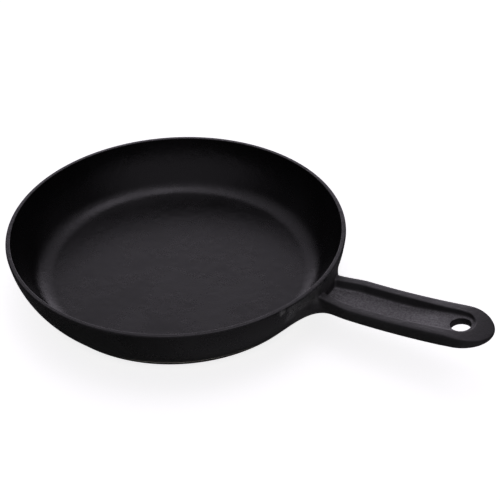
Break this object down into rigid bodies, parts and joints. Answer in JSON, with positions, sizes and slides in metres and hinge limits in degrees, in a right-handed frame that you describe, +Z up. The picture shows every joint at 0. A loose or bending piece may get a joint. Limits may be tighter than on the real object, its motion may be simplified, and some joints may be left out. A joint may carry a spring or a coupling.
{
  "type": "cast iron skillet",
  "caption": "Round, shallow cast iron frying pan with curved sloping walls, a flat floor and a long channelled grip handle that ends in a hanging hole.",
  "frame": {"origin": "centre of the flat base, on the pan's axis, at the surface the pan stands on", "axes": "+Z up along the pan's axis, +X along the handle towards the hanging hole, +Y across the handle"},
  "size_m": [0.3558, 0.2398, 0.0424],
  "materials": {
    "seasoned_iron": "seasoned, fine sandy grain, satin",
    "handle_iron": "seasoned, coarse sandy grain, satin",
    "base_iron": "seasoned, worn lighter along the foot's edge"
  },
  "bodies": {
    "root": {"base_foot": "base_iron", "pan_floor": "seasoned_iron", "floor_cove": "seasoned_iron", "pan_wall": "seasoned_iron", "pan_rim": "seasoned_iron", "handle_root": "handle_iron", "grip_web": "handle_iron", "grip_edge_left": "handle_iron", "grip_edge_right": "handle_iron", "hanging_loop": "handle_iron"}
  },
  "joints": []
}
